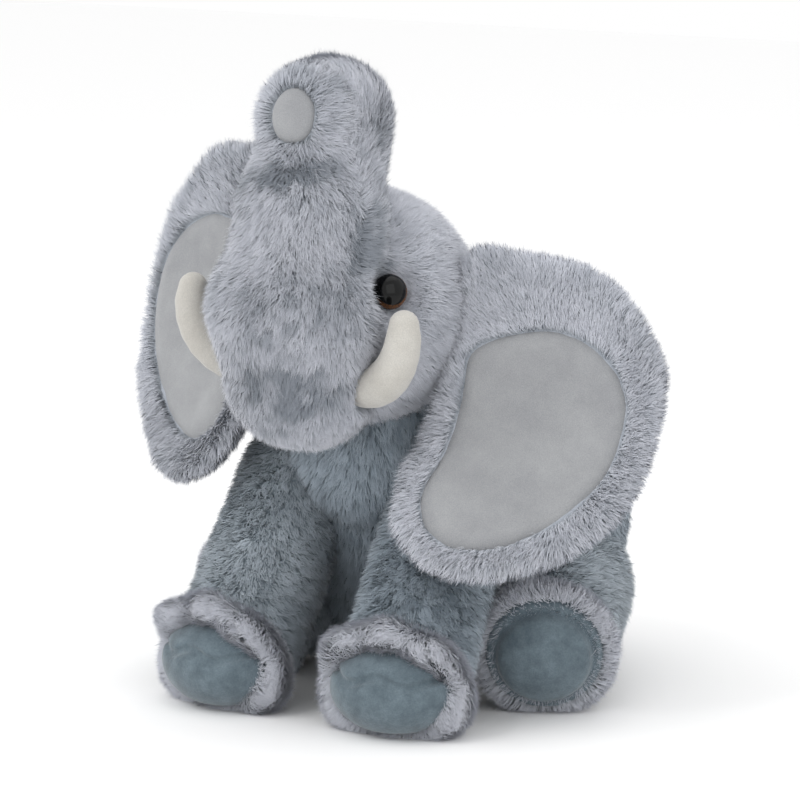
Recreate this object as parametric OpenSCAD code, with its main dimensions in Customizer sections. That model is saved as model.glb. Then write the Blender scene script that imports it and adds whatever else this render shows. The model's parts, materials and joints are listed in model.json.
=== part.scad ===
// Sitting plush elephant with a raised trunk: sewn fur skins over fibre filling,
// safety eyes, and limbs that flex at their seams.
// Millimetres. The elephant faces -Y, +Z is up, and its own left side is +X.

/* [Fabric] */
// Thickness of the fur fabric, backing and pile together
fur = 8; // [6:0.5:9]
// Gap left between pieces that move against each other
gap = 0.6; // [0.4:0.1:1]
// Gap left between pieces sewn or stuffed into one another
lay = 0.3; // [0.2:0.1:0.5]

/* [Head] */
// Radius of the round skull, fur included
head_r = 50; // [47:0.5:52]
// Radius of the muzzle, fur included
muzzle_r = 42; // [40:0.5:44]
// Height of the skull's centre above the floor
head_z = 175; // [172:1:180]
// Sideways lean of the head towards its own left, in degrees
head_roll = 4; // [0:0.5:5]

/* [Trunk] */
// Radius of the trunk's column, fur included
trunk_r = 26; // [24:0.5:28]
// Radius of the curled end of the trunk, fur included
curl_r = 28; // [26:0.5:30]
// Radius of the smooth patch that closes the trunk's end
tip_patch_r = 11.5; // [9:0.5:13]

/* [Ears] */
// Radius of the bowl that each ear is dished to
dish_r = 210; // [180:5:260]
// Angle that the ears sweep back from straight out, in degrees
ear_sweep = 19; // [16:1:22]
// The same for the right ear, which is sewn on higher
ear_sweep_right = 22; // [19:1:24]
// Angle that the ears' top edge leans back, in degrees
ear_lean = 24; // [22:1:26]
ear_lean_right = 14; // [12:1:16]

/* [Body] */
// Radius of the round rump and belly
rump_r = 78; // [76:0.5:80]
// Radius of the chest under the head
chest_r = 48; // [46:0.5:50]

/* [Legs] */
// Radius of a front leg at the shoulder
shoulder_r = 28; // [26:0.5:29]
// Radius of a front foot
front_foot_r = 29; // [27:0.5:30]
// Radius of a thigh
thigh_r = 38; // [36:0.5:39]
// Radius of a hind foot
hind_foot_r = 31; // [30:0.5:33]
// Thickness of the long-pile trim round each foot
cuff_r = 8; // [6:0.5:9]

/* [Eyes] */
// Diameter of each safety eye
eye_d = 15; // [12:0.5:16]

/* [Hidden] */
$fn = 48;

// Colours of the cloths and plastics
fur_grey = "#9fa3aa";
lining_grey = "#a8a8aa";
pad_slate = "#63717a";
tusk_white = "#d8d5cf";
filling_white = "#f2f2f0";
lens_amber = "#7a4a1e";
shank_black = "#101214";

// Centres of the big round forms
head_at = [0.5, -38, head_z]; // off to its left by as much as the lean carries the ears to the right
rump_at = [0, 42, 74];
chest_at = [0, -9, 115];
big = 400; // larger than the whole toy

// Head frame: origin at the skull's centre, leaning sideways with the head
muzzle_at = [0, -40, -2];
trunk_root_at = [0, -34, 37];
curl_at = [0, -26, 82.5];
trunk_tip_reach = 32;
trunk_tip_r = 19;
tip_lift = 8; // the trunk's end looks up by this much
patch_t = 2.5;

// Places of the joints' centres on the left side, in the row frame
shoulder_at = [40, -22, 95];
front_foot_at = [43, -64, 29.5];
hip_at = [50, 40, 42];
hind_foot_at = [71, 3, 32.5];
toe_out = 8; // the front feet point outwards by this many degrees
toe_reach = 15;
toe_r = 25;
toe_z = 25.5;
sole_r = 22;
sole_rise = 16;
hind_cuff_at = [21, 17]; // the trim's centre, out from the leg's line and past the foot's centre
floor_gap = 0.5; // the feet hang this far above the floor
tail_root_at = [0, 110, 36];
tail_end_at = [0, 112, 11];
tail_r = 6;
foot_room = 3; // extra room for the filling's hollow round a hind foot
tail_room = 4.5; // extra room round the tail's root for its swing
tuft_r = 8;

shaft_share = 0.985; // keeps a shaft's side crossing its end balls, instead of just touching them

// How far each part swings, in degrees, which its socket is cut clear of
head_swing = 12;
trunk_swing = 12;
hind_swing = 12;
hind_room = hind_swing / 3; // what that adds to the radius of the room round a hind foot
hind_spin = 75; // how far a hind leg's balls are spun about Z

// Eyes, in the head frame: place of the base plane's centre and the way each looks
eye_at = [34, -29, 14.5];
eye_turn = 62; // turned this far from straight ahead
eye_lift = 16; // and looking up by this much
eye_dome = 5;
eye_rim_t = 1.4;
stem_r = 2;
stem_l = 11;
stem_room = 4; // the hole for the stem goes this far past its end
washer_room = 30; // depth of the hollow in the filling behind an eye
washer_r = 8;
washer_t = 1.2;

// Tusks, in the head frame: an arc that leaves the muzzle and curls upwards
tusk_at = [29, -37, -25];
tusk_turn = 22; // the arc's plane turns this far forward of sideways
tusk_bend_r = 27;
tusk_arc = 98;
tusk_r = 8.5;
tusk_cloth = 1.5;

// Ear frame: the seam's middle in the head frame, X outwards, Y along the seam, Z out of the lining
ear_at = [45, 9, -3];
ear_at_right = [42.5, 8, 24]; // mirrored, like all of the right side
ear_middle = [38, -42];
lining_r = 50; // roughly, from its middle to its edge
prism_ends = [-60, 80]; // far enough in front and behind to cross the whole bowl
ear_back_t = 8;
ear_rim_t = 6;
lining_t = 1.6;
batting_t = 2.4;
// The channel in the head that the ear's sewn edge lies in: radius, how far forward its middle is,
// its two ends along the seam, and its turn to follow the ear's inner edge
seam_r = 16.4;
seam_w = 6;
seam_ends = [-64, 36];
seam_turn = 6;
// Corners that the smooth outlines pass through
ear_corners = [
    [0, 27], [30, 32], [61, 26], [87, -1], [93, -32], [84, -72],
    [60, -98], [30, -111], [4, -108], [-14, -90], [-14, -66], [-6, -38]
];
lining_corners = [
    [10, -13], [29, -3], [48, -1], [67, -10], [78, -28], [77, -50], [67, -70],
    [50, -86], [32, -95], [14, -97], [3, -90], [-1, -76], [5, -56], [9, -33]
];

// A smooth closed curve through the corners, with steps points in each stretch
function between(a, b, c, d, t) =
    0.5 * (2 * b + (c - a) * t + (2 * a - 5 * b + 4 * c - d) * t * t
        + (3 * b - a - 3 * c + d) * t * t * t);
function smooth(p, steps) = let (n = len(p)) [
    for (i = [0 : n - 1], s = [0 : steps - 1])
        between(p[(i + n - 1) % n], p[i], p[(i + 1) % n], p[(i + 2) % n], s / steps)
];

// ---- frames and helpers -------------------------------------------------

// The children as they are on the left, mirrored for the right
module side(s) {
    if (s > 0) children();
    else mirror([1, 0, 0]) children();
}

module head_frame() {
    translate(head_at) rotate([0, head_roll, 0]) children();
}

module ear_frame(s) {
    at = s > 0 ? ear_at : ear_at_right;
    sweep = s > 0 ? ear_sweep : ear_sweep_right;
    lean = s > 0 ? ear_lean : ear_lean_right;
    translate(at) rotate([0, 0, sweep]) rotate([90 - lean, 0, 0]) children();
}

// Turns +Z of the children to the direction from one point to another, from that point
module along(from, to) {
    v = to - from;
    flat = norm([v[0], v[1]]);
    translate(from) rotate([0, atan2(flat, v[2]), atan2(v[1], v[0])]) children();
}

// The straight stretch between two balls, a touch slimmer than the cone that touches both
module shaft(from, to, r1, r2) {
    d = norm(to - from);
    dip = (r1 - r2) / d;
    rise = shaft_share * sqrt(1 - dip * dip);
    along(from, to) translate([0, 0, r1 * dip])
        cylinder(h = d + (r2 - r1) * dip, r1 = r1 * rise, r2 = r2 * rise);
}

// Two balls and the shaft between them, the balls spun about Z so that their seams stay off the shaft's
module link(from, to, r1, r2, spin = 0) {
    translate(from) rotate([0, 0, spin]) sphere(r1);
    translate(to) rotate([0, 0, spin]) sphere(r2);
    shaft(from, to, r1, r2);
}

// The children turned about the X axis through a point
module turned(at, angle) {
    translate(at) rotate([angle, 0, 0]) translate(-at) children();
}

module above_floor(z) {
    translate([-big / 2, -big / 2, z]) cube(big);
}

// ---- solids, each drawn in by a depth t below its outer surface ------------------------

module head_solid(t) {
    link([0, 0, 0], muzzle_at, head_r - t, muzzle_r - t);
}

module tip_frame() {
    translate(curl_at) rotate([90 - tip_lift, 0, 0]) children();
}

module trunk_solid(t) {
    link(trunk_root_at, curl_at, trunk_r - t, curl_r - t);
    tip_frame() cylinder(h = trunk_tip_reach - t, r1 = curl_r - t - 1, r2 = trunk_tip_r - t);
}

// All the room in the head that the trunk's root takes up as it bends
module trunk_sweep(t) {
    translate(trunk_root_at) sphere(trunk_r - t);
    for (angle = [-trunk_swing, trunk_swing]) turned(trunk_root_at, angle)
        shaft(trunk_root_at, curl_at, trunk_r - t, curl_r - t);
}

module front_leg_solid(t) {
    link(shoulder_at, front_foot_at, shoulder_r - t, front_foot_r - t);
}

module hind_leg_solid(t) {
    link(hip_at, hind_foot_at, thigh_r - t, hind_foot_r - t, hind_spin);
}

// All the room in the body that a hind leg takes up as it lifts
module hind_leg_sweep(t) {
    turned(hip_at, -hind_swing / 2)
        link(hip_at, hind_foot_at, thigh_r - t, hind_foot_r - t + hind_room);
}

module tail_solid(t) {
    link(tail_root_at, tail_end_at, tail_r - t, tail_r - t);
}

module torso_solid(t) {
    clear = -gap - t;
    difference() {
        link(rump_at, chest_at, rump_r - t, chest_r - t);
        head_frame() head_solid(clear);
        for (s = [-1, 1]) side(s) {
            translate(shoulder_at) sphere(shoulder_r + lay + t);
            shaft(shoulder_at, front_foot_at, shoulder_r + lay + t, front_foot_r + lay + t);
            hind_leg_sweep(clear);
        }
        translate(tail_root_at) sphere(tail_r - clear + tail_room);
    }
}

// The room inside the body's skin, cut clear of every socket by balls alone
module torso_core(t) {
    room = gap + t + 1;
    difference() {
        translate(rump_at) sphere(rump_r - t);
        for (s = [-1, 1]) side(s) {
            for (k = [0 : 2])
                translate(shoulder_at + (front_foot_at - shoulder_at) * k / 3) sphere(shoulder_r + room + k + 1);
            translate(hip_at) sphere(thigh_r + room);
            translate((hip_at + hind_foot_at) / 2) sphere((thigh_r + hind_foot_r) / 2 + room + hind_room);
            translate(hind_foot_at) sphere(hind_foot_r + room + hind_room + foot_room);
        }
        translate(tail_root_at) sphere(tail_r + room + tail_room);
    }
}

// ---- body -----------------------------------------------------------------

module torso_skin() {
    color(fur_grey) intersection() {
        difference() {
            torso_solid(0);
            intersection() {
                torso_solid(fur);
                above_floor(fur);
            }
        }
        above_floor(0);
    }
}

module torso_filling() {
    color(filling_white) intersection() {
        torso_core(fur + lay);
        above_floor(fur + lay);
    }
}

module tail_skin() {
    color(fur_grey) difference() {
        tail_solid(0);
        translate(tail_end_at) sphere(tuft_r + lay);
    }
}

module tail_tuft() {
    color(pad_slate) translate(tail_end_at) sphere(tuft_r);
}

// ---- head and trunk ------------------------------------------------------------

module eye_frame() {
    translate(eye_at) rotate([0, 0, eye_turn]) rotate([90 - eye_lift, 0, 0]) children();
}

module eye_cuts() {
    socket_r = eye_d / 2 + 1.5;
    eye_frame() {
        sphere(socket_r);
        translate([0, 0, -stem_l - stem_room]) cylinder(h = stem_l + stem_room + 1, r = stem_r + lay);
    }
}

// The tusk's arc: starts inside the muzzle and curls outwards and up
module tusk_solid(t, lead = 0) {
    translate(tusk_at) rotate([0, 0, -tusk_turn]) translate([0, 0, tusk_bend_r])
        rotate([90, 0, 0]) {
            rotate([0, 0, -90 - lead]) rotate_extrude(angle = tusk_arc + lead)
                translate([tusk_bend_r, 0]) circle((tusk_r - t) * shaft_share);
            rotate([0, 0, tusk_arc - 90]) translate([tusk_bend_r, 0, 0]) sphere(tusk_r - t);
        }
}

module head_skin() {
    color(fur_grey) head_frame() difference() {
        head_solid(0);
        head_solid(fur);
        trunk_sweep(-gap);
        for (s = [-1, 1]) side(s) {
            eye_cuts();
            tusk_solid(-lay);
            ear_frame(s) seam_roll(seam_r + gap);
        }
    }
}

module head_filling() {
    deep = fur + lay;
    color(filling_white) head_frame() difference() {
        head_solid(deep);
        trunk_sweep(-gap - deep / 2);
        for (s = [-1, 1]) side(s) {
            tusk_solid(-lay);
            ear_frame(s) seam_roll(seam_r + gap + 1);
            eye_frame() translate([0, 0, -stem_l - stem_room]) cylinder(h = washer_room, r = washer_r + 1);
        }
    }
}

module trunk_skin() {
    color(fur_grey) head_frame() difference() {
        trunk_solid(0);
        trunk_solid(fur);
        trunk_patch(lay);
    }
}

module trunk_filling() {
    color(filling_white) head_frame() difference() {
        trunk_solid(fur + lay);
        trunk_patch(lay * 2);
    }
}

module trunk_patch(g) {
    tip_frame() translate([0, 0, trunk_tip_reach - patch_t - g])
        cylinder(h = patch_t + 2 * g, r = tip_patch_r + g);
}

module trunk_tip_patch() {
    color(lining_grey) head_frame() trunk_patch(0);
}

// ---- eyes and tusks -----------------------------------------------------------------

module eye_lens(s) {
    r = eye_d / 2;
    ball_r = (r * r + eye_dome * eye_dome) / (2 * eye_dome);
    color(lens_amber) head_frame() side(s) eye_frame() intersection() {
        translate([0, 0, eye_rim_t + eye_dome - ball_r]) sphere(ball_r);
        translate([0, 0, eye_rim_t]) cylinder(h = eye_dome * 2, r = r);
    }
}

module eye_shank(s) {
    color(shank_black) head_frame() side(s) eye_frame() {
        cylinder(h = eye_rim_t, r = eye_d / 2);
        translate([0, 0, -stem_l]) cylinder(h = stem_l + 0.5, r = stem_r);
    }
}

module eye_washer(s) {
    color(filling_white) head_frame() side(s) eye_frame()
        translate([0, 0, 1.5 - stem_l]) difference() {
            cylinder(h = washer_t, r = washer_r);
            translate([0, 0, -1]) cylinder(h = washer_t + 2, r = stem_r + 0.05);
        }
}

// The part of the tusk that stands out of the muzzle, with its sewn-in end
module tusk_cover(s) {
    color(tusk_white) head_frame() side(s) difference() {
        tusk_solid(0);
        tusk_solid(tusk_cloth, 4);
    }
}

module tusk_filling(s) {
    color(filling_white) head_frame() side(s) tusk_solid(tusk_cloth + lay);
}

// ---- ears ---------------------------------------------------------------------------

// A slice of a bowl whose deepest point is under the ear's middle
module bowl(out, in) {
    translate([ear_middle[0], ear_middle[1], dish_r]) difference() {
        sphere(dish_r + out, $fn = 160);
        sphere(dish_r + in, $fn = 160);
    }
}

module prism(corners, steps, grow = 0) {
    scale_by = 1 + grow / lining_r;
    translate([ear_middle[0], ear_middle[1], prism_ends[0]]) linear_extrude(prism_ends[1] - prism_ends[0])
        polygon([for (p = smooth(corners, steps)) (p - ear_middle) * scale_by]);
}

module seam_roll(r) {
    rotate([0, 0, -seam_turn]) translate([0, seam_ends[0], seam_w]) rotate([-90, 0, 0])
        cylinder(h = seam_ends[1] - seam_ends[0], r = r);
}

module ear_fur(s) {
    color(fur_grey) head_frame() side(s) ear_frame(s) {
        intersection() {
            prism(ear_corners, 4);
            bowl(ear_back_t, 0);
        }
        intersection() {
            difference() {
                prism(ear_corners, 4);
                prism(lining_corners, 3);
            }
            bowl(0.01, -ear_rim_t);
        }
    }
}

module ear_lining(s) {
    color(lining_grey) head_frame() side(s) ear_frame(s) intersection() {
        prism(lining_corners, 3, -lay);
        bowl(-batting_t - 2 * lay, -batting_t - 2 * lay - lining_t);
    }
}

module ear_batting(s) {
    color(filling_white) head_frame() side(s) ear_frame(s) intersection() {
        prism(lining_corners, 3, -lay);
        bowl(-lay, -batting_t - lay);
    }
}

// ---- legs -------------------------------------------------------------------------------

module front_leg_skin(s) {
    color(fur_grey) side(s) difference() {
        front_leg_solid(0);
        front_leg_solid(fur);
    }
}

module front_leg_filling(s) {
    color(filling_white) side(s) front_leg_solid(fur + lay);
}

module toe_frame() {
    translate([front_foot_at[0], front_foot_at[1], toe_z]) rotate([90, 0, toe_out]) children();
}

module toe_ball(t) {
    toe_frame() translate([0, 0, toe_reach]) sphere(toe_r - t);
}

module front_toe(s) {
    color(pad_slate) side(s) intersection() {
        difference() {
            toe_ball(0);
            front_leg_solid(-lay);
        }
        above_floor(floor_gap);
    }
}

// A ring of long pile about +Z
module ring(r, height) {
    translate([0, 0, height]) rotate_extrude() translate([r, 0]) circle(cuff_r);
}

module front_cuff(s) {
    color(fur_grey) side(s) intersection() {
        difference() {
            toe_frame() ring(toe_r, toe_reach / 2);
            front_leg_solid(-lay);
            toe_ball(-lay);
        }
        above_floor(floor_gap);
    }
}

module hind_leg_skin(s) {
    color(fur_grey) side(s) difference() {
        hind_leg_solid(0);
        hind_leg_solid(fur);
    }
}

module hind_leg_filling(s) {
    color(filling_white) side(s) hind_leg_solid(fur + lay);
}

module sole_frame() {
    along(hind_foot_at, hind_foot_at + (hind_foot_at - hip_at)) children();
}

// The sole is a shallow dome on the end of the foot
module sole_ball(t) {
    sole_frame() translate([0, 0, sole_rise]) sphere(sole_r - t);
}

module hind_sole(s) {
    color(pad_slate) side(s) difference() {
        sole_ball(0);
        hind_leg_solid(-lay);
    }
}

module hind_cuff(s) {
    color(fur_grey) side(s) sole_frame() rotate_extrude() difference() {
        translate([hind_cuff_at[0], hind_cuff_at[1]]) circle(cuff_r);
        circle(hind_foot_r + lay);
        translate([0, sole_rise]) circle(sole_r + lay);
    }
}

// ---- nodes ---------------------------------------------------------------------------------

torso_skin();
torso_filling();
head_skin();
head_filling();
trunk_skin();
trunk_filling();
trunk_tip_patch();
ear_fur(1);  // ear_fur_left
ear_fur(-1);  // ear_fur_right
ear_lining(1);  // ear_lining_left
ear_lining(-1);  // ear_lining_right
ear_batting(1);  // ear_batting_left
ear_batting(-1);  // ear_batting_right
eye_lens(1);  // eye_lens_left
eye_lens(-1);  // eye_lens_right
eye_shank(1);  // eye_shank_left
eye_shank(-1);  // eye_shank_right
eye_washer(1);  // eye_washer_left
eye_washer(-1);  // eye_washer_right
tusk_cover(1);  // tusk_cover_left
tusk_cover(-1);  // tusk_cover_right
tusk_filling(1);  // tusk_filling_left
tusk_filling(-1);  // tusk_filling_right
front_leg_skin(1);  // front_leg_skin_left
front_leg_skin(-1);  // front_leg_skin_right
front_leg_filling(1);  // front_leg_filling_left
front_leg_filling(-1);  // front_leg_filling_right
front_toe(1);  // front_toe_left
front_toe(-1);  // front_toe_right
front_cuff(1);  // front_cuff_left
front_cuff(-1);  // front_cuff_right
hind_leg_skin(1);  // hind_leg_skin_left
hind_leg_skin(-1);  // hind_leg_skin_right
hind_leg_filling(1);  // hind_leg_filling_left
hind_leg_filling(-1);  // hind_leg_filling_right
hind_sole(1);  // hind_sole_left
hind_sole(-1);  // hind_sole_right
hind_cuff(1);  // hind_cuff_left
hind_cuff(-1);  // hind_cuff_right
tail_skin();
tail_tuft();
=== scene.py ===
"""Sitting plush elephant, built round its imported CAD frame.

Every soft form is a smooth distance field, in millimetres. Its skin is meshed a pile's depth inside the
field's surface, and the pile is grown from the skin as fine ribbons that end at about that surface.
"""

import json
import math

import bpy
import numpy as np
import openvdb
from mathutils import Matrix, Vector


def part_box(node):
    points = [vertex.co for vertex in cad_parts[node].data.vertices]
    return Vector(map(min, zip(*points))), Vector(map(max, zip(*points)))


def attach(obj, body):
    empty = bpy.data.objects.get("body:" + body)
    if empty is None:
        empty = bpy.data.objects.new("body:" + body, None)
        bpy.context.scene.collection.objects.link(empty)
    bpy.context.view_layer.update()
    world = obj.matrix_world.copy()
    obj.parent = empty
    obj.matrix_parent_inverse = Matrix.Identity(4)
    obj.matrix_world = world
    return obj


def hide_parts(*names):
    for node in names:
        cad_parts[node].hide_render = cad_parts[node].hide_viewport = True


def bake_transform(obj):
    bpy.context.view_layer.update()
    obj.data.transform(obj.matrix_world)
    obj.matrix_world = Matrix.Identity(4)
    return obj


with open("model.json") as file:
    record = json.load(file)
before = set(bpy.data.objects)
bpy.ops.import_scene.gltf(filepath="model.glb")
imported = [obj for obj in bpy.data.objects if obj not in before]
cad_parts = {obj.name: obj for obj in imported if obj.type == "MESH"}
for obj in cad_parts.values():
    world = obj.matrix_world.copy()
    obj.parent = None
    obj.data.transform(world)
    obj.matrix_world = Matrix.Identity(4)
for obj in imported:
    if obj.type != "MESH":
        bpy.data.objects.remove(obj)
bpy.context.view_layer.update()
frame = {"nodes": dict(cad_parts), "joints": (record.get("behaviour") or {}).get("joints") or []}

MM = 0.001
INSET = 4.0  # how far a skin lies under the surface that its pile comes up to, in mm
STRANDS_A_PIECE = 48000  # at most, so that no piece of pile is cut down in the export
SIDES = ((1, "left"), (-1, "right"))

# ---- frames -------------------------------------------------------------------------------

JOINTS = {j["name"]: j for j in frame["joints"]}


def joint_at(name):
    return np.array(JOINTS[name]["pos_m"]) / MM


def box_mm(node):
    low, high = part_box(node)
    return np.array(low) / MM, np.array(high) / MM


HEAD_AT = joint_at("head_nod")
HEAD_X = -np.array(JOINTS["head_nod"]["axis"])
HEAD_TURN = np.column_stack((HEAD_X, (0, 1, 0), np.cross(HEAD_X, (0, 1, 0))))


def from_head(points):
    """Points of the head's own frame, in the row frame."""
    return HEAD_AT + np.asarray(points, float) @ HEAD_TURN.T


def to_head(points):
    return (np.asarray(points, float) - HEAD_AT) @ HEAD_TURN


def turn(axis, degrees):
    a = math.radians(degrees)
    c, s = math.cos(a), math.sin(a)
    if axis == "x":
        return np.array(((1, 0, 0), (0, c, -s), (0, s, c)))
    if axis == "y":
        return np.array(((c, 0, s), (0, 1, 0), (-s, 0, c)))
    return np.array(((c, -s, 0), (s, c, 0), (0, 0, 1)))


# The ears' own frames: the left one, and the right one before it is mirrored
EAR_AT = {1: np.array((45.0, 9.0, -3.0)), -1: np.array((42.5, 8.0, 24.0))}
EAR_TURN = {1: turn("z", 19) @ turn("x", 66), -1: turn("z", 22) @ turn("x", 76)}


def from_ear(points, side):
    """Points of an ear's own frame (out, up, forward), in the row frame."""
    p = EAR_AT[side] + np.asarray(points, float) @ EAR_TURN[side].T
    return from_head(p * (side, 1, 1))


def to_ear(points, side):
    p = to_head(points) * (side, 1, 1)
    return (p - EAR_AT[side]) @ EAR_TURN[side]


# ---- distance fields ----------------------------------------------------------------------


def ball(p, at, r):
    return np.linalg.norm(p - np.asarray(at, float), axis=-1) - r


def limb(p, a, b, ra, rb):
    """A round bar from a to b whose radius runs from ra to rb."""
    a, b = np.asarray(a, float), np.asarray(b, float)
    along = np.clip((p - a) @ (b - a) / ((b - a) @ (b - a)), 0, 1)
    return np.linalg.norm(p - a - along[..., None] * (b - a), axis=-1) - (ra + (rb - ra) * along)


def egg(p, at, radii):
    """A ball stretched to three radii."""
    q = (p - np.asarray(at, float)) / np.asarray(radii, float)
    k = np.linalg.norm(q, axis=-1)
    return (k - 1) * np.min(radii) * (0.35 + 0.65 * np.clip(k, 0, 1))


def join(k, *fields):
    """The union, with its creases filled to about k mm."""
    out = fields[0]
    for f in fields[1:]:
        h = np.clip(0.5 + 0.5 * (f - out) / k, 0, 1)
        out = f * (1 - h) + out * h - k * h * (1 - h)
    return out


def cut(k, field, tool):
    """The field without the tool, with the rim rounded to about k mm."""
    return -join(k, -field, tool)


def slope(field, p, step=0.4):
    """The field's outward direction."""
    g = np.empty_like(p)
    for i in range(3):
        d = np.zeros(3)
        d[i] = step
        g[:, i] = field(p + d) - field(p - d)
    return unit(g)


def unit(v):
    return v / np.maximum(np.linalg.norm(v, axis=-1, keepdims=True), 1e-9)


def lattice(cells, seed):
    """A number from 0 to 1 for each whole-numbered cell."""
    c = cells.astype(np.int64)
    h = (c[..., 0] * 73856093) ^ (c[..., 1] * 19349663) ^ (c[..., 2] * 83492791) ^ (seed * 2654435761)
    h = (h ^ (h >> 13)) * 1274126177
    return ((h ^ (h >> 16)) & 0xFFFF) / 65535.0


def waves(p, size, seed=0):
    """Smooth noise from -1 to 1, with lumps about size mm across."""
    q = p / size
    base = np.floor(q)
    f = q - base
    f = f * f * (3 - 2 * f)
    total = 0
    for i in range(8):
        corner = np.array((i & 1, i >> 1 & 1, i >> 2 & 1))
        weight = np.prod(np.where(corner, f, 1 - f), axis=-1)
        total = total + weight * lattice(base + corner, seed)
    return total * 2 - 1


# ---- the toy's forms, at the surface of the pile ------------------------------------------------

SKULL_R = 52.5
TRUNK_TOP = np.array((-3.0, -26.0, 82.5))
TIP_TURN = turn("x", 82)  # the trunk's end looks forward and a little up
TIP_WAY = TIP_TURN[:, 2]
TIP_REACH = 32.0
EYE_AT = np.array((34.0, -29.0, 14.5))
EYE_TURN = turn("z", 62) @ turn("x", 90 - 16)
RUMP_AT, RUMP_R = np.array((0.0, 42.0, 74.0)), 78
CHEST_AT, CHEST_R = np.array((0.0, -9.0, 115.0)), 48
SHOULDER_AT = np.array((40.0, -22.0, 95.0))
FRONT_FOOT_AT = np.array((43.0, -64.0, 29.5))
HIND_FOOT_AT = np.array((71.0, 3.0, 32.5))
HIP_AT = joint_at("hind_leg_left_lift")
TAIL_AT = joint_at("tail_swing")


def head_form(p):
    """Skull, muzzle and trunk as one sewn form."""
    q = to_head(p)
    skull = ball(q, (0, 0, 0), SKULL_R)
    muzzle = limb(q, (0, -40, 0), (0, -39, -22), 43, 35)
    root = limb(q, (0, -41, 8), (0, -40, 44), 38, 31)
    column = limb(q, (0, -40, 46), TRUNK_TOP, 30, 27)
    curl = limb(q, TRUNK_TOP, TRUNK_TOP + TIP_WAY * 14, 27.5, 24)
    curl = cut(10, curl, TIP_REACH + 1 - (q - TRUNK_TOP) @ TIP_WAY)
    face = join(1.0, join(6, join(1.5, join(4, skull, muzzle), root), column), curl)
    for side in (-1, 1):
        eye = (EYE_AT + EYE_TURN[:, 2] * 9) * (side, 1, 1)
        face = cut(5, face, ball(q, eye, 12.5))
    return face


def torso_form(p):
    body = limb(p, RUMP_AT, CHEST_AT, RUMP_R, CHEST_R)
    return cut(3, body, p[..., 2])


def front_leg_form(p, side):
    q = p * (side, 1, 1)
    return limb(q, SHOULDER_AT, FRONT_FOOT_AT, 27, 29)


def hind_leg_form(p, side):
    q = p * (side, 1, 1)
    return limb(q, HIP_AT, HIND_FOOT_AT, 38, 31.5)


def tail_form(p):
    low, high = box_mm("tail_tuft")
    return limb(p, TAIL_AT, (low + high) / 2, 5.5, 6.5)


# ---- meshes ------------------------------------------------------------------------------------


def add(name, points, faces, material, smooth=True):
    """A mesh object from points in mm."""
    mesh = bpy.data.meshes.new(name)
    mesh.from_pydata((np.asarray(points) * MM).tolist(), [], [tuple(f) for f in faces])
    mesh.validate()
    mesh.update()
    if smooth:
        mesh.polygons.foreach_set("use_smooth", np.ones(len(mesh.polygons), bool))
    made = bpy.data.objects.new(name, mesh)
    bpy.context.scene.collection.objects.link(made)
    made.data.materials.append(material)
    return made


def fix(pieces, body):
    """Has pieces ride a body."""
    for piece in pieces:
        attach(piece, body)


def ring_faces(rings, spokes, first=0):
    """The quads between rings of points, numbered from the innermost ring outwards."""
    faces = []
    for i in range(rings - 1):
        for j in range(spokes):
            a, b = first + i * spokes, first + (i + 1) * spokes
            k = (j + 1) % spokes
            faces.append((a + j, a + k, b + k, b + j))
    return faces


def disc_faces(rings, spokes):
    """The faces of a disc facing +Z: point 0 in the middle, then its rings outwards."""
    fan = [(0, 1 + j, 1 + (j + 1) % spokes) for j in range(spokes)]
    return fan + [face[::-1] for face in ring_faces(rings, spokes, 1)]


def surface(form, low, high, cell=2.5):
    """The points and quads of a form's surface inside a box."""
    low, high = np.asarray(low, float), np.asarray(high, float)
    counts = np.ceil((high - low) / cell).astype(int) + 1
    steps = [low[i] + cell * np.arange(counts[i]) for i in range(3)]
    spots = np.stack(np.meshgrid(*steps, indexing="ij"), axis=-1)
    values = form(spots).astype(np.float32)
    grid = openvdb.FloatGrid(3 * cell)
    grid.copyFromArray(np.ascontiguousarray(values), tolerance=0.0)
    points, quads = grid.convertToQuads(0.0)
    points = np.asarray(points, float) * cell + low
    quads = np.asarray(quads)
    a, b, c = (points[quads[:, i]] for i in range(3))
    normal = np.cross(b - a, c - a)
    out = slope(form, (a + c) / 2)
    if np.sum(normal * out) < 0:
        quads = quads[:, ::-1]
    return points, quads


# ---- materials ------------------------------------------------------------------------------------


def linear(r, g, b):
    """Screen colour, 0 to 255, as the linear colour that shaders use."""
    return tuple(((c / 255 + 0.055) / 1.055) ** 2.4 if c > 10 else c / 255 / 12.92 for c in (r, g, b)) + (1,)


def material(name, roughness=0.8, **sockets):
    made = bpy.data.materials.new(name)
    made.use_nodes = True
    shader = made.node_tree.nodes["Principled BSDF"]
    shader.inputs["Roughness"].default_value = roughness
    for socket, value in sockets.items():
        shader.inputs[socket.replace("_", " ")].default_value = value
    return made, made.node_tree, shader


def link(tree, source, target):
    tree.links.new(source, target)


def ramp(tree, source, stops):
    node = tree.nodes.new("ShaderNodeValToRGB")
    elements = node.color_ramp.elements
    while len(elements) < len(stops):
        elements.new(0.5)
    for element, (at, colour) in zip(elements, stops):
        element.position = at
        element.color = colour
    link(tree, source, node.inputs[0])
    return node.outputs[0]


def mixed(tree, factor, a, b, blend="MIX"):
    node = tree.nodes.new("ShaderNodeMix")
    node.data_type = "RGBA"
    node.blend_type = blend
    for socket, value in ((node.inputs[0], factor), (node.inputs[6], a), (node.inputs[7], b)):
        if isinstance(value, bpy.types.NodeSocket):
            link(tree, value, socket)
        else:
            socket.default_value = value
    return node.outputs[2]


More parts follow.
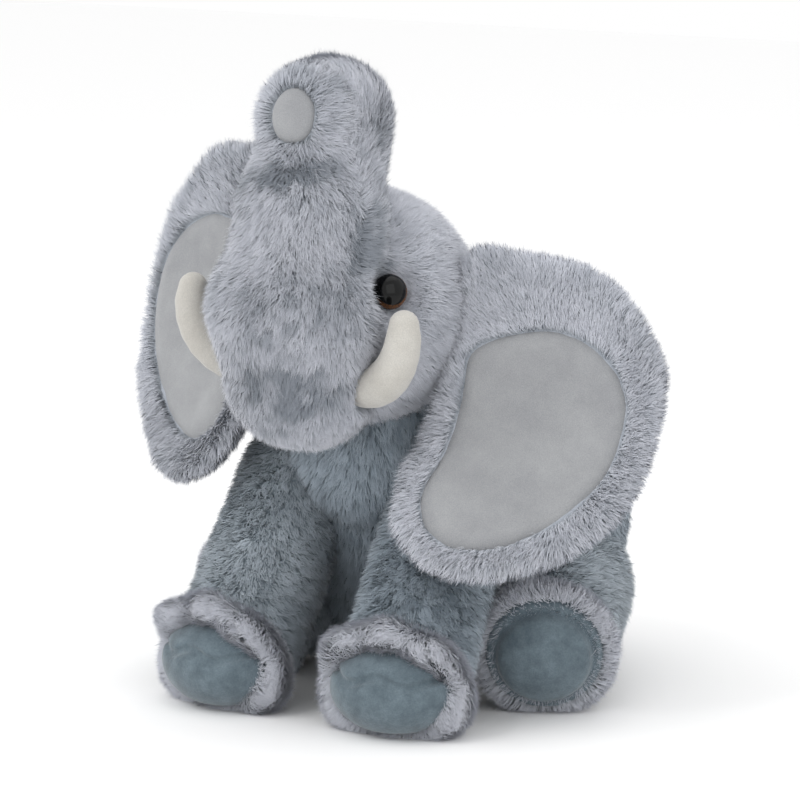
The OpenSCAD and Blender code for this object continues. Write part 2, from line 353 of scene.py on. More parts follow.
def noise(tree, scale, detail=3.0, rough=0.6):
    """Noise in the object's own metres, so it doesn't stretch."""
    where = tree.nodes.new("ShaderNodeTexCoord")
    node = tree.nodes.new("ShaderNodeTexNoise")
    node.inputs["Scale"].default_value = scale
    node.inputs["Detail"].default_value = detail
    node.inputs["Roughness"].default_value = rough
    link(tree, where.outputs["Object"], node.inputs["Vector"])
    return node.outputs["Fac"]


def pile_material(name, root, middle, tip):
    """Fur strands: dark at the root and pale at the tip, each one and each tuft a little different. The pale
    tips are the pile's own frosted tips; the darker roots are partly painted shade deep in the pile.
    """
    made, tree, shader = material(name, 0.75, Specular_IOR_Level=0.15, Sheen_Weight=0.25, Sheen_Roughness=0.5)
    along = tree.nodes.new("ShaderNodeAttribute")
    along.attribute_name = "strand"
    split = tree.nodes.new("ShaderNodeSeparateXYZ")
    link(tree, along.outputs["Vector"], split.inputs[0])
    colour = ramp(tree, split.outputs[0], ((0.0, root), (0.5, middle), (0.95, tip)))
    # The second channel is the strand's tone, multiplied in from 0.5 up: random tuft tone, plus painted shade
    # where a tone darkens creases
    shades = ((0.0, (0.5, 0.53, 0.55, 1)), (0.45, (0.9, 0.91, 0.92, 1)), (1.0, (1.08, 1.08, 1.08, 1)))
    tuft = ramp(tree, split.outputs[1], shades)
    each = ramp(tree, split.outputs[2], ((0.0, (0.86, 0.86, 0.87, 1)), (1.0, (1.0, 1.0, 1.0, 1))))
    colour = mixed(tree, 1.0, colour, tuft, "MULTIPLY")
    colour = mixed(tree, 1.0, colour, each, "MULTIPLY")
    link(tree, colour, shader.inputs["Base Color"])
    return made


def cloth_material(name, dark, light, grain=2600, lumps=60, bump=0.15, sheen=0.35, rough=0.85):
    """Short velour or backing cloth: fine grain, soft brushed patches and a little sheen."""
    made, tree, shader = material(
        name, rough, Specular_IOR_Level=0.2, Sheen_Weight=sheen, Sheen_Roughness=0.45
    )
    patches = noise(tree, lumps, 4.0, 0.65)
    fibres = noise(tree, grain, 2.0, 0.7)
    colour = ramp(tree, patches, ((0.3, dark), (0.7, light)))
    speck = ramp(tree, fibres, ((0.3, (0.8, 0.81, 0.82, 1)), (0.7, (1.06, 1.06, 1.05, 1))))
    link(tree, mixed(tree, 1.0, colour, speck, "MULTIPLY"), shader.inputs["Base Color"])
    raised = tree.nodes.new("ShaderNodeBump")
    raised.inputs["Strength"].default_value = bump
    raised.inputs["Distance"].default_value = 0.0004
    link(tree, fibres, raised.inputs["Height"])
    link(tree, raised.outputs[0], shader.inputs["Normal"])
    return made


SILVER = pile_material("fur_silver_pile", linear(158, 165, 172), linear(194, 198, 206), linear(216, 218, 226))
# The slate pile is darker than the mist pile; the torso wears it, and so does the left front leg, where the
# darker pile is painted shade
SLATE_AND_SHADE = pile_material("fur_slate_and_shade_pile", linear(130, 143, 152), linear(158, 171, 181), linear(180, 191, 201))
MIST = pile_material("fur_mist_pile", linear(132, 144, 152), linear(172, 183, 191), linear(202, 211, 219))
SILVER_SKIN = cloth_material("fur_silver_backing", linear(150, 156, 165), linear(178, 183, 192),
                             grain=1500, bump=0.5)
SLATE_SKIN = cloth_material("fur_slate_backing", linear(128, 139, 148), linear(156, 168, 177),
                            grain=1500, bump=0.5)
LINING = cloth_material("velour_silver", linear(146, 147, 150), linear(161, 162, 164), lumps=45, bump=0.3)
PAD = cloth_material("velour_slate", linear(84, 97, 105), linear(110, 124, 132), grain=1400, lumps=140,
                     bump=0.5)
IVORY = cloth_material("velour_ivory", linear(184, 180, 173), linear(198, 195, 189), lumps=60, bump=0.3)

# ---- pile ---------------------------------------------------------------------------------------


def tufts(p, size, seed):
    """For each point, the centre of its nearest tuft and that tuft's own number from 0 to 1."""
    cell = np.floor(p / size)
    best = np.full(len(p), 1e9)
    centre = np.zeros_like(p)
    number = np.zeros(len(p))
    for dx in (-1, 0, 1):
        for dy in (-1, 0, 1):
            for dz in (-1, 0, 1):
                c = cell + (dx, dy, dz)
                spot = np.stack([lattice(c, seed + i) for i in range(3)], axis=-1)
                spot = (c + 0.15 + 0.7 * spot) * size
                far = np.linalg.norm(p - spot, axis=-1)
                near = far < best
                best = np.where(near, far, best)
                centre[near] = spot[near]
                number = np.where(near, lattice(c, seed + 7), number)
    return centre, number


def grow(name, skin, form, each_mm2, length, lay, look, seed, keep=None, lean=0.8, gather=0.45,
         tuft=7.0, width=0.3, tone=None, shell=0.5, floor=0.4):
    """Grows fur ribbons on a skin and returns their pieces.

    lay(points, normals) gives the way the fur is combed. lean is how far it lies over, 0 being upright.
    """
    rng = np.random.default_rng(seed)
    points, quads = skin
    tri = np.concatenate((quads[:, (0, 1, 2)], quads[:, (0, 2, 3)]))
    a, b, c = (points[tri[:, i]] for i in range(3))
    area = np.linalg.norm(np.cross(b - a, c - a), axis=1) / 2
    count = int(area.sum() * each_mm2)
    pick = rng.choice(len(tri), count, p=area / area.sum())
    s, t = rng.random((2, count))
    flip = s + t > 1
    s[flip], t[flip] = 1 - s[flip], 1 - t[flip]
    root = a[pick] + s[:, None] * (b - a)[pick] + t[:, None] * (c - a)[pick]
    if keep is not None:
        root = root[keep(root)]
    normal = slope(form, root)
    comb = lay(root, normal)
    comb = unit(comb - normal * np.sum(comb * normal, axis=1, keepdims=True))
    swirl = np.cross(normal, comb) * waves(root, 17, seed)[:, None] * 0.55
    comb = unit(comb + swirl)
    n = len(root)
    wild = rng.normal(size=(n, 3)) * 0.3
    way = unit(normal + comb * (lean * (1 + 0.35 * waves(root, 13, seed + 3)))[:, None] + wild)
    reach = length * (0.8 + 0.45 * rng.random(n) ** 2) * (1 + 0.14 * waves(root, 9, seed + 5))
    centre, number = tufts(root, tuft, seed + 11)
    middle = root + unit(way + normal * 0.35) * (reach * 0.5)[:, None]
    tip = root + way * reach[:, None]
    pull = centre - root
    pull -= normal * np.sum(pull * normal, axis=1, keepdims=True)
    middle += pull * (gather * 0.35)
    tip += pull * gather
    sag = comb * (reach * 0.12 * lean)[:, None]
    tip += sag
    for spots, above in ((middle, shell - 1.2), (tip, shell + np.abs(rng.normal(size=n)) * 1.5)):
        over = form(spots) - above
        out = over > 0
        spots[out] -= slope(form, spots[out]) * (over[out] * 0.85)[:, None]
    for spots in (root, middle, tip):
        spots[:, 2] = np.maximum(spots[:, 2], floor)
    facing = unit(np.cross(tip - root, normal + rng.normal(size=(n, 3)) * 0.3))
    wide = width * (0.75 + 0.5 * rng.random(n))[:, None]
    corners = np.stack(
        (root - facing * wide / 2, root + facing * wide / 2, middle - facing * wide * 0.42,
         middle + facing * wide * 0.42, tip), axis=1)
    soft = unit(normal + way * 0.15)
    shade = 0.5 + 0.5 * waves(root, 21, seed + 13) * 0.7 + (number - 0.5) * 0.5
    # A tone shifts the strands' shade; on the head it is painted shade in the creases
    if tone is not None:
        shade = shade + tone(root)
    marks = np.stack((np.clip(shade, 0, 1), rng.random(n)), axis=1)
    return ribbons(name, corners, soft, marks, look)


def ribbons(name, corners, normals, marks, look):
    """Mesh pieces of five-pointed ribbons, each strand with its marks and its place in a colour chart."""
    made = []
    total = len(corners)
    pieces = max(1, math.ceil(total / STRANDS_A_PIECE))
    steps = np.array((0.0, 0.0, 0.55, 0.55, 1.0))
    chart = 12  # the colour chart has this many tones by this many strands
    for k in range(pieces):
        take = slice(total * k // pieces, total * (k + 1) // pieces)
        points = corners[take]
        n = len(points)
        first = np.arange(n)[:, None] * 5
        quads = (first + (0, 1, 3, 2)).ravel()
        tips = (first + (2, 3, 4)).ravel()
        mesh = bpy.data.meshes.new(f"{name}_{k + 1}")
        mesh.vertices.add(n * 5)
        mesh.vertices.foreach_set("co", (points * MM).ravel())
        mesh.loops.add(n * 7)
        mesh.loops.foreach_set("vertex_index", np.concatenate((quads, tips)))
        mesh.polygons.add(n * 2)
        starts = np.concatenate((np.arange(n) * 4, n * 4 + np.arange(n) * 3))
        mesh.polygons.foreach_set("loop_start", starts)
        mesh.polygons.foreach_set("use_smooth", np.ones(n * 2, bool))
        tone_step = np.floor(marks[take, 0] * (chart - 0.001))
        each_step = np.floor(marks[take, 1] * (chart - 0.001))
        strand = np.empty((n, 5, 3), np.float32)
        strand[:, :, 0] = steps
        strand[:, :, 1] = (tone_step / (chart - 1))[:, None]
        strand[:, :, 2] = (each_step / (chart - 1))[:, None]
        mark = mesh.attributes.new("strand", "FLOAT_VECTOR", "POINT")
        mark.data.foreach_set("vector", strand.ravel())
        side = np.array((0.2, 0.8, 0.25, 0.75, 0.5))
        place = np.empty((n, 5, 2), np.float32)
        place[:, :, 0] = (each_step[:, None] + side) / chart
        place[:, :, 1] = (tone_step[:, None] + 0.08 + 0.84 * steps) / chart
        corner = np.concatenate((quads, tips))
        chart_map = mesh.uv_layers.new(name="OFBake")
        chart_map.data.foreach_set("uv", place.reshape(-1, 2)[corner].ravel())
        mesh.update(calc_edges=True)
        mesh.normals_split_custom_set_from_vertices(np.repeat(normals[take], 5, axis=0))
        piece = bpy.data.objects.new(f"{name}_{k + 1}", mesh)
        bpy.context.scene.collection.objects.link(piece)
        mesh.materials.append(look)
        made.append(piece)
    return made


def ruffled(form, p, inset=INSET):
    """A form drawn in to its skin, with the soft lumps that the pile's tufts make."""
    return form(p) + inset + 0.55 * waves(p, 8, 3) + 0.4 * waves(p, 4.5, 4)


def outside(*forms, by=0.0):
    """A test that a point is not deeper than by inside any of the forms."""
    return lambda p: np.all([f(p) > -by for f in forms], axis=0)


def downwards(p, normal):
    return np.broadcast_to((0.0, 0.15, -1.0), p.shape)


# ---- ears ----------------------------------------------------------------------------------------

DISH_R = 210.0
EAR_MIDDLE = np.array((38.0, -42.0))
EAR_CORNERS = (
    (0, 27), (30, 32), (61, 26), (87, -1), (93, -32), (84, -72),
    (60, -98), (30, -111), (4, -108), (-14, -90), (-14, -66), (-6, -38),
)
LINING_CORNERS = (
    (10, -13), (29, -3), (48, -1), (67, -10), (78, -28), (77, -50), (67, -70),
    (50, -86), (32, -95), (14, -97), (3, -90), (-1, -76), (5, -56), (9, -33),
)


def smooth_loop(corners, steps):
    """A smooth closed curve through the corners."""
    p = np.asarray(corners, float)
    t = (np.arange(steps) / steps)[:, None]
    out = []
    for i in range(len(p)):
        a, b, c, d = p[i - 1], p[i], p[(i + 1) % len(p)], p[(i + 2) % len(p)]
        out.append(0.5 * (2 * b + (c - a) * t + (2 * a - 5 * b + 4 * c - d) * t**2
                          + (3 * b - a - 3 * c + d) * t**3))
    return np.concatenate(out)


def loop_distance(q, loop):
    """Distance in the plane from a closed loop, negative inside."""
    shape = q.shape[:-1]
    flat = q.reshape(-1, 2)
    best = np.full(len(flat), 1e9)
    inside = np.zeros(len(flat), bool)
    for a, b in zip(loop, np.roll(loop, -1, axis=0)):
        e = b - a
        t = np.clip((flat - a) @ e / (e @ e), 0, 1)
        best = np.minimum(best, np.linalg.norm(flat - a - t[:, None] * e, axis=1))
        cross = ((a[1] > flat[:, 1]) != (b[1] > flat[:, 1]))
        x = a[0] + (flat[:, 1] - a[1]) / (e[1] if abs(e[1]) > 1e-9 else 1e-9) * e[0]
        inside ^= cross & (flat[:, 0] < x)
    return np.where(inside, -best, best).reshape(shape)


EAR_LOOP = smooth_loop(EAR_CORNERS, 4)
LINING_LOOP = smooth_loop(LINING_CORNERS, 4)


# The right ear is cut a little longer and narrower than the left one
LOBE_SHRINK = {1: np.array((0.97, 1.0)), -1: np.array((1.06, 0.94))}


def dish(uv):
    """How far forward the ear's bowl is at a place in its plane."""
    off = np.sum((uv - EAR_MIDDLE) ** 2, axis=-1)
    return DISH_R - np.sqrt(DISH_R**2 - off)


def ear_form(p, side):
    """An ear's furry slab: back, rim and edge, at the surface of its pile."""
    q = to_ear(p, side)
    w = q[..., 2] - dish(q[..., :2])
    edge = loop_distance(q[..., :2] * LOBE_SHRINK[side], EAR_LOOP)
    slab = np.abs(w + 1.0) - 7.0
    return -join(8, -edge, -slab)


def make_ear(side, name):
    body = f"ear_{name}"
    form = lambda p: ear_form(p, side)
    low, high = box_mm(f"ear_fur_{name}")
    skin = surface(lambda p: ruffled(form, p, 3.2), low - 8, high + 8, 2.2)
    backing = add(f"ear_backing_{name}", *skin, SILVER_SKIN)

    def bare(p):
        """Not under the lining."""
        q = to_ear(p, side)
        front = q[:, 2] - dish(q[:, :2]) > -2.5
        return ~(front & (loop_distance(q[:, :2], LINING_LOOP) < 0.5))

    middle = from_ear((*EAR_MIDDLE, 0), side)

    def outwards(p, normal):
        return unit(p - middle)

    def edge_tone(p):
        q = to_ear(p, side)
        front = q[:, 2] - dish(q[:, :2]) > -1
        return np.where(front, 0.25, 0.0)

    pile = grow(f"ear_pile_{name}", skin, form, 4.4, 5.8, outwards, SILVER, 31 + side, keep=bare,
                lean=1.0, gather=0.25, tuft=4.5, tone=edge_tone)
    fix([backing, *pile], body)
    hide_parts(f"ear_fur_{name}", f"ear_batting_{name}")

    # The lining: a dished sheet with soft dents, its edge rolled under the fur.
    rings, spokes = 22, len(LINING_LOOP)
    points = []
    for share in (*np.arange(1, rings + 1) / rings, 0.0):
        uv = EAR_MIDDLE + (LINING_LOOP - EAR_MIDDLE) * share * 1.05
        spot = np.column_stack((uv, np.zeros(spokes)))
        dents = 2.2 * waves(spot, 27, 5) + 1.0 * waves(spot, 12, 6)
        roll = 4.5 * max(0.0, (share - 0.8) / 0.2) ** 2.2
        w = dish(uv) + 4.3 + dents * (1 - share**3) - roll
        points.append(np.column_stack((uv, w)))
    hub = rings * spokes
    flat = np.concatenate(points)[:hub + 1]
    faces = ring_faces(rings, spokes) + [(hub, (j + 1) % spokes, j) for j in range(spokes)]
    if side > 0:
        faces = [f[::-1] for f in faces]
    lining = add(f"ear_lining_velour_{name}", from_ear(flat, side), faces, LINING)
    thick = lining.modifiers.new("cloth", "SOLIDIFY")
    thick.thickness = 0.0012
    rounder = lining.modifiers.new("round", "SUBSURF")
    rounder.levels = rounder.render_levels = 1
    fix([lining], body)
    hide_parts(f"ear_lining_{name}")


# ---- head and trunk -----------------------------------------------------------------------------

def eye_points(points, side):
    return from_head((EYE_AT + np.asarray(points, float) @ EYE_TURN.T) * (side, 1, 1))


def make_head():
    skin = surface(lambda p: ruffled(head_form, p), HEAD_AT - (62, 92, 62), HEAD_AT + (66, 62, 130), 2.5)
    backing = add("head_backing", *skin, SILVER_SKIN)
    def keep(p):
        q = to_head(p)
        clear = np.ones(len(p), bool)
        for side in (-1, 1):
            eye = EYE_AT * (side, 1, 1)
            clear &= np.linalg.norm(q - eye * 0.97, axis=1) > 8.0
            ear = to_ear(p, side)
            clear &= ~((np.abs(ear[:, 2]) < 7) & (ear[:, 0] > -2) & (ear[:, 1] > -30) & (ear[:, 1] < 28))
            clear &= tusk_form(p, side) > 1.0
        end = (q - TRUNK_TOP) @ TIP_TURN
        return clear & ~((end[:, 2] > 15) & (np.hypot(end[:, 0], end[:, 1]) < 10.5))

    def lay(p, normal):
        """Away from the nose on the skull, down over the muzzle, and up along the trunk."""
        q = to_head(p)
        back = unit(q - (0, -70, 30))
        trunk = np.clip((q[:, 2] - 40) / 30, 0, 1)[:, None]
        up = np.broadcast_to((0.0, 0.2, 1.0), q.shape)
        over = np.where((q[:, 1] < -40)[:, None], (0.0, -1.0, 0.1), (0.0, -0.2, 0.6))
        over = np.where((q[:, 2] > 80)[:, None], over, up)
        way = back * (1 - trunk) + over * trunk
        end = (q - TRUNK_TOP) @ TIP_TURN
        rim = np.column_stack((end[:, :2], np.zeros(len(q)))) @ TIP_TURN.T
        way = np.where((end[:, 2] > 16)[:, None], rim, way)
        return way @ HEAD_TURN.T

    # Painted shade: strands darkened in patches under the lower muzzle, beside the trunk's root and under the
    # trunk's curl, where shade falls
    def painted_crease_shade(p):
        q = to_head(p)
        low = np.exp(-np.sum(((q - (14, -76, -22)) / (24, 24, 15)) ** 2, axis=1))
        out = np.abs(q[:, 0])
        beside = np.exp(-(((out - 30) / 6) ** 2 + ((q[:, 2] - 34) / 20) ** 2 + ((q[:, 1] + 40) / 16) ** 2))
        under = np.exp(-(((q[:, 2] - 64 - q[:, 0] * 0.35) / 5) ** 2 + ((q[:, 1] + 62) / 12) ** 2))
        return 0.1 - (0.8 + 0.5 * waves(p, 6, 9)) * np.clip(low + beside + under, 0, 1)

    pile = grow("head_pile", skin, head_form, 5.0, 6.8, lay, SILVER, 11, keep=keep, lean=0.9,
                gather=0.3, tuft=5, tone=painted_crease_shade)
    for piece in [backing, *pile]:
        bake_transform(piece)
    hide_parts("head_skin", "head_filling", "trunk_skin", "trunk_filling")

    # The patch that closes the trunk's end: a pillowy oval of velour.
    rings, spokes, r = 7, 28, 11.5
    points = [(0, 0, 3.2)]
    for i in range(1, rings + 1):
        share = i / rings
        for j in range(spokes):
            a = 2 * math.pi * j / spokes
            lift = 3.2 * (1 - share**2) ** 0.5 - (1.8 if i == rings else 0)
            points.append((r * share * math.cos(a), 1.15 * r * share * math.sin(a), lift))
    faces = disc_faces(rings, spokes)
    spots = TRUNK_TOP + (np.array(points) + (0, 0, TIP_REACH - 5.5)) @ TIP_TURN.T
    patch = add("trunk_patch_velour", from_head(spots), faces, LINING)
    thick = patch.modifiers.new("cloth", "SOLIDIFY")
    thick.thickness = 0.0012
    fix([patch], "trunk")
    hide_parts("trunk_tip_patch")


# ---- tusks ----------------------------------------------------------------------------------------

TUSK_AT = np.array((29.0, -37.0, -25.0))
TUSK_BEND = 27.0
TUSK_ARC = 98
TUSK_TURN = turn("z", -22)


def tusk_line(steps):
    """The tusk's middle line and its radius, in the head's frame, from inside the muzzle to the tip."""
    a = np.radians(np.linspace(-8, TUSK_ARC, steps))
    local = np.column_stack((np.sin(a) * TUSK_BEND, np.zeros(steps), TUSK_BEND - np.cos(a) * TUSK_BEND))
    share = np.linspace(0, 1, steps)
    return TUSK_AT + local @ TUSK_TURN.T, 9.0 - 2.6 * share**2


def tusk_form(p, side):
    q = to_head(p) * (side, 1, 1)
    line, radius = tusk_line(9)
    out = limb(q, line[0], line[1], radius[0], radius[1])
    for i in range(1, 8):
        out = join(2, out, limb(q, line[i], line[i + 1], radius[i], radius[i + 1]))
    return out


def make_tusk(side, name):
    form = lambda p: tusk_form(p, side)
    low, high = box_mm(f"tusk_cover_{name}")
    skin = surface(form, low - 8, high + 8, 1.4)
    cover = add(f"tusk_velour_{name}", *skin, IVORY)
    fix([cover], "head")
    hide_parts(f"tusk_cover_{name}", f"tusk_filling_{name}")


# ---- body and legs ----------------------------------------------------------------------------------


def make_torso():
    skin = surface(lambda p: ruffled(torso_form, p), RUMP_AT - (84, 110, 80), RUMP_AT + (84, 84, 96), 3)
    backing = add("torso_backing", *skin, SLATE_SKIN)
    legs = [lambda p, s=s: front_leg_form(p, s) for s in (-1, 1)]
    legs += [lambda p, s=s: hind_leg_form(p, s) for s in (-1, 1)]
    seen = outside(head_form, *legs, by=9)

    def keep(p):
        return seen(p) & (p[:, 2] > 4)

    pile = grow("torso_pile", skin, torso_form, 3.0, 7.2, downwards, SLATE_AND_SHADE, 21, keep=keep, lean=0.9,
                gather=0.5, tuft=7)
    fix([backing, *pile], "torso")
    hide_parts("torso_skin", "torso_filling")


def toe_frame(points, side):
    """Points of a front foot's frame (out, up, forward), in the row frame."""
    q = np.asarray(points, float)
    q = np.column_stack((q[:, 0], -q[:, 2], q[:, 1])) @ turn("z", 8).T
    return (q + (FRONT_FOOT_AT[0], FRONT_FOOT_AT[1], 25.5)) * (side, 1, 1)


def to_toe(p, side):
    q = (p * (side, 1, 1) - (FRONT_FOOT_AT[0], FRONT_FOOT_AT[1], 25.5)) @ turn("z", 8)
    return np.stack((q[..., 0], q[..., 2], -q[..., 1]), axis=-1)


def grooved(field, line, wide):
    """The field with a seam sunk into its surface where line is nought."""
    return cut(1.2, field, np.hypot(line, field) - wide)


def toe_form(p, side):
    """A stuffed foot front with a seam across it, under the cuff."""
    q = to_toe(p, side)
    pad = egg(q, (0, -5.5, 15), (28, 19.5, 21))
    pad = grooved(pad, q[..., 1] - 1 - 1.8 * np.cos(q[..., 0] / 4.2), 1.9)
    return cut(3, pad, q[..., 1] + 24.5)


def make_front_leg(side, name):
    form = lambda p: front_leg_form(p, side)
    low, high = box_mm(f"front_leg_skin_{name}")
    skin = surface(lambda p: ruffled(form, p), low - 2, high + 2, 2.5)
    backing = add(f"front_leg_backing_{name}", *skin, SLATE_SKIN)
    toes = lambda p: toe_form(p, side)

    def keep(p):
        q = to_toe(p, side)
        in_front = (q[:, 2] > 8) & (np.hypot(q[:, 0], q[:, 1]) < 24)
        return ~in_front & outside(torso_form, by=12)(p) & outside(toes, by=2)(p) & (p[:, 2] > 1)

    # The left front leg takes the darker slate pile as painted shade; the right one takes the mist pile
    look = SLATE_AND_SHADE if side > 0 else MIST
    pile = grow(f"front_leg_pile_{name}", skin, form, 4.0, 5.6, downwards, look, 41 + side, keep=keep,
                lean=0.7, gather=0.4, tuft=6)
    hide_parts(f"front_leg_skin_{name}", f"front_leg_filling_{name}")

    toe = add(f"front_toe_velour_{name}",
              *surface(toes, low - (6, 24, 4), high + (6, 2, -60), 1.3), PAD)
    fix([toe], "torso")
    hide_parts(f"front_toe_{name}")

    # The cuff arches over the toe: a lobed roll of backing with long fur standing out of it.
    def cuff_form(p):
        q = to_toe(p, side)
        ring = np.hypot(q[..., 0], q[..., 1] * 1.2 + 5) - 27
        lobes = 1.2 * np.cos(6 * np.arctan2(q[..., 0], q[..., 1]))
        ahead = 11 + 9 * np.clip(q[..., 1] / 16, 0, 1)
        return np.hypot(ring, (q[..., 2] - ahead) * 0.9) - 9 - lobes

    cuff_low, cuff_high = box_mm(f"front_cuff_{name}")
    roll = surface(lambda p: ruffled(cuff_form, p), cuff_low - 6, cuff_high + 6, 1.8)
    band = add(f"front_cuff_backing_{name}", *roll, SILVER_SKIN)

    def fan(p, normal):
        q = to_toe(p, side)
        r = np.hypot(q[:, 0], q[:, 1])
        over = np.where(r < 25, 0.2, 1.0)
        out = np.column_stack((q[:, 0] * over, q[:, 1] * over, 1.1 * r))
        return toe_frame(out, side) - toe_frame(np.zeros((1, 3)), side)

    fringe = grow(f"front_cuff_pile_{name}", roll, cuff_form, 7, 8, fan, SILVER, 51 + side,
                  keep=lambda p: outside(toes, by=2)(p) & (p[:, 2] > 0.6), lean=1.0, gather=0.15,
                  tuft=4.5, tone=lambda p: 1.0)
    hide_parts(f"front_cuff_{name}")
    fix([backing, *pile], "torso")
    fix([band, *fringe], "torso")
    for piece in (backing, toe, band):
        settle(piece)


SOLE_WAY = unit(HIND_FOOT_AT - HIP_AT)
SOLE_OUT = unit(np.cross((0, 0, 1), SOLE_WAY))
SOLE_UP = np.cross(SOLE_WAY, SOLE_OUT)
SOLE_TURN = np.column_stack((SOLE_OUT, SOLE_UP, SOLE_WAY))


def to_sole(p, side):
    return (p * (side, 1, 1) - HIND_FOOT_AT) @ SOLE_TURN


def from_sole(points, side):
    return (HIND_FOOT_AT + np.asarray(points, float) @ SOLE_TURN.T) * (side, 1, 1)


def make_hind_leg(side, name):
    body = f"hind_leg_{name}"
    form = lambda p: hind_leg_form(p, side)
    low, high = box_mm(f"hind_leg_skin_{name}")
    skin = surface(lambda p: ruffled(form, p), low - 2, high + 2, 2.5)
    backing = add(f"hind_leg_backing_{name}", *skin, SLATE_SKIN)

    def keep(p):
        q = to_sole(p, side)
        on_sole = (q[:, 2] > 12) & (np.hypot(q[:, 0], q[:, 1]) < 24)
        return ~on_sole & outside(torso_form, by=12)(p) & (p[:, 2] > 1)

    pile = grow(f"hind_leg_pile_{name}", skin, form, 3.8, 6.4, downwards, MIST, 61 + side, keep=keep,
                lean=0.65, gather=0.45, tuft=6.5)
    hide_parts(f"hind_leg_skin_{name}", f"hind_leg_filling_{name}")

    # The sole: a stuffed round of velour with a seam set in from its edge.
    def sole_form(p):
        q = to_sole(p, side)
        r = np.hypot(q[..., 0], q[..., 1])
        disc = egg(q, (0, 0, 20), (26, 26, 16))
        return grooved(disc, r - 21.5, 1.5)

    foot_low, foot_high = low - (22, 40, 8), high + (22, 4, 4)
    sole = add(f"hind_sole_velour_{name}", *surface(sole_form, foot_low, foot_high, 1.5), PAD)

    def cuff_form(p):
        q = to_sole(p, side)
        ring = np.hypot(q[..., 0], q[..., 1]) - 24.5
        return np.hypot(ring, (q[..., 2] - 18) * 0.9) - 7.5

    roll = surface(lambda p: ruffled(cuff_form, p), foot_low, foot_high, 1.8)
    band = add(f"hind_cuff_backing_{name}", *roll, SILVER_SKIN)

    def fan(p, normal):
        q = to_sole(p, side)
        r = np.hypot(q[:, 0], q[:, 1])
        over = np.where(r < 24, -0.4, 1.0)
        out = np.column_stack((q[:, 0] * over, q[:, 1] * over, 0.6 * r))
        return from_sole(out, side) - from_sole(np.zeros((1, 3)), side)

    fringe = grow(f"hind_cuff_pile_{name}", roll, cuff_form, 7, 8, fan, SILVER, 71 + side,
                  keep=lambda p: outside(sole_form, by=1)(p) & (p[:, 2] > 0.6), lean=1.0, gather=0.3,
                  tuft=4.5, tone=lambda p: 0.9)
    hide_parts(f"hind_cuff_{name}")
    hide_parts(f"hind_sole_{name}")
    fix([sole], body)
    fix([backing, *pile], body)
    fix([band, *fringe], body)
    for piece in (backing, sole, band):
        settle(piece)


def settle(piece, floor=0.5):
    """Flattens a piece's underside where it rests on the floor."""
    n = len(piece.data.vertices)
    spots = np.empty(n * 3)
    piece.data.vertices.foreach_get("co", spots)
    spots = spots.reshape(-1, 3)
    spots[:, 2] = np.maximum(spots[:, 2], floor * MM)
    piece.data.vertices.foreach_set("co", spots.ravel())
    piece.data.update()


def make_tail():
    low, high = box_mm("tail_skin")
    skin = surface(lambda p: tail_form(p) + 3, low - (6, 6, 14), high + 6, 1.5)
    backing = add("tail_backing", *skin, SLATE_SKIN)
    pile = grow("tail_pile", skin, tail_form, 5.0, 7, downwards, MIST, 81, lean=1.0, gather=0.5, tuft=4,
                keep=outside(torso_form, by=3))
    fix([backing, *pile], "tail")
    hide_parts("tail_skin", "tail_tuft")


# ---- eyes -----------------------------------------------------------------------------------------------


def make_eye(side, name):
    """A domed lens, black with an amber ring, in a black rim."""
    made, tree, shader = material(f"lens_amber_{name}", 0.08, Specular_IOR_Level=0.25)
    where = tree.nodes.new("ShaderNodeAttribute")
    where.attribute_name = "from_middle"
    amber = noise(tree, 900, 3.0)
    iris = ramp(tree, amber, ((0.35, linear(58, 34, 16)), (0.65, linear(104, 66, 34))))
    mask = ramp(tree, where.outputs["Fac"], ((0.88, (0, 0, 0, 1)), (0.93, (1, 1, 1, 1))))
    colour = mixed(tree, mask, linear(6, 7, 8), iris)
    link(tree, colour, shader.inputs["Base Color"])
    rings, spokes, r, rise = 12, 40, 7.5, 5.0
    points, share = [(0, 0, rise)], [0.18]
    for i in range(1, rings + 1):
        s = i / rings
        for j in range(spokes):
            a = 2 * math.pi * j / spokes
            points.append((r * s * math.cos(a), r * s * math.sin(a), rise * math.sqrt(1 - s * s)))
            # The ring is measured from an off-centre middle, so the amber shows as a crescent on one side:
            # the amber is the lens's own colour, its one-sided crescent is painted light through the lens
            share.append(math.hypot(s * math.cos(a) + 0.14, s * math.sin(a) - 0.12))
    faces = disc_faces(rings, spokes)
    if side < 0:
        faces = [f[::-1] for f in faces]
    spots = eye_points(np.array(points) + (0, 0, 1.4), side)
    lens = add(f"eye_dome_{name}", spots, faces, made)
    mark = lens.data.attributes.new("from_middle", "FLOAT", "POINT")
    mark.data.foreach_set("value", np.array(share, np.float32))
    fix([lens], "head")
    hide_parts(f"eye_lens_{name}")


def finish_hard_parts():
    black, tree, shader = material("shank_black", 0.18, Specular_IOR_Level=0.5)
    tone = noise(tree, 300, 2.0)
    link(tree, ramp(tree, tone, ((0.3, linear(10, 11, 12)), (0.7, linear(18, 19, 20)))),
         shader.inputs["Base Color"])
    white, tree, shader = material("washer_white", 0.5)
    tone = noise(tree, 300, 2.0)
    link(tree, ramp(tree, tone, ((0.3, linear(215, 215, 213)), (0.7, linear(228, 228, 226)))),
         shader.inputs["Base Color"])
    for _, name in SIDES:
        for node, look in ((f"eye_shank_{name}", black), (f"eye_washer_{name}", white)):
            shown = frame["nodes"][node]
            shown.data.materials.clear()
            shown.data.materials.append(look)


# ---- stage ------------------------------------------------------------------------------------------------


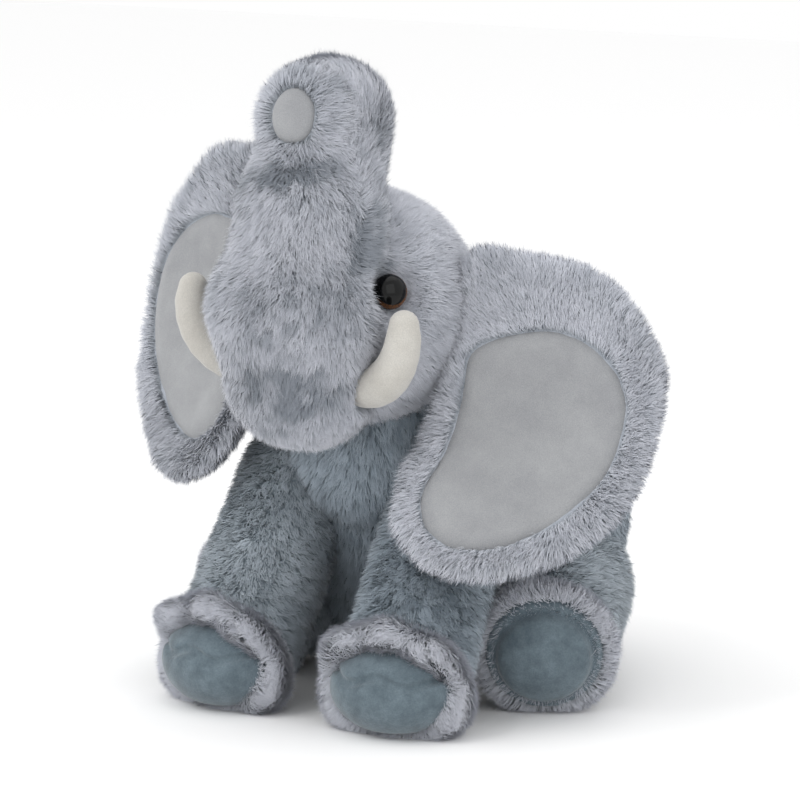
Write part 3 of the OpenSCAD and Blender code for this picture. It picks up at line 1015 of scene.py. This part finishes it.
# Name, place in metres, width in metres and watts; the glint is the small one that shows in the eyes
LAMPS = (
    ("key", (-0.55, -1.1, 1.35), 1.1, 6),
    ("fill", (1.3, -0.7, 0.9), 1.2, 3),
    ("top", (0.1, 0.3, 1.6), 1.4, 3),
    ("glint", (-0.05, -0.88, 0.95), 0.09, 0.7),
)
LIT_AT = (0, 0, 0.13)


def make_stage():
    ground, tree, shader = material("floor_pale", 0.9, Specular_IOR_Level=0.1)
    shader.inputs["Base Color"].default_value = (0.97, 0.97, 0.97, 1)
    floor = add("floor", [(-3000, -3000, 0), (3000, -3000, 0), (3000, 3000, 0), (-3000, 3000, 0)],
                [(0, 1, 2, 3)], ground)
    bpy.context.scene.view_settings.view_transform = "Standard"
    world = bpy.data.worlds.new("studio")
    bpy.context.scene.world = world
    world.use_nodes = True
    sky = world.node_tree.nodes["Background"]
    sky.inputs[0].default_value = (1.0, 1.0, 1.0, 1)
    sky.inputs[1].default_value = 1.0
    for name, spot, size, power in LAMPS:
        lamp = bpy.data.lights.new(name, "AREA")
        lamp.size = size
        lamp.energy = power
        made = bpy.data.objects.new(name, lamp)
        made.location = spot
        made.rotation_euler = look_along(np.subtract(LIT_AT, spot))
        bpy.context.scene.collection.objects.link(made)


def look_along(way):
    """The turn that points a lamp or a camera along a way."""
    return Vector(way).to_track_quat("-Z", "Y").to_euler()


def make_camera():
    """Looks from the toy's left and a little above."""
    azimuth, elevation, away = math.radians(33), math.radians(10), 1.8
    target = np.array((-0.002, -0.001, 0.128))
    way = np.array((math.sin(azimuth) * math.cos(elevation), -math.cos(azimuth) * math.cos(elevation),
                    math.sin(elevation)))
    lens = bpy.data.cameras.new("camera")
    lens.lens = 184.1
    lens.sensor_width = 36
    made = bpy.data.objects.new("camera", lens)
    made.location = target + way * away
    made.rotation_euler = look_along(-way)
    bpy.context.scene.collection.objects.link(made)
    bpy.context.scene.camera = made


make_camera()
make_stage()
make_head()
make_torso()
make_tail()
for side, name in SIDES:
    make_ear(side, name)
    make_tusk(side, name)
    make_eye(side, name)
    make_front_leg(side, name)
    make_hind_leg(side, name)
finish_hard_parts()
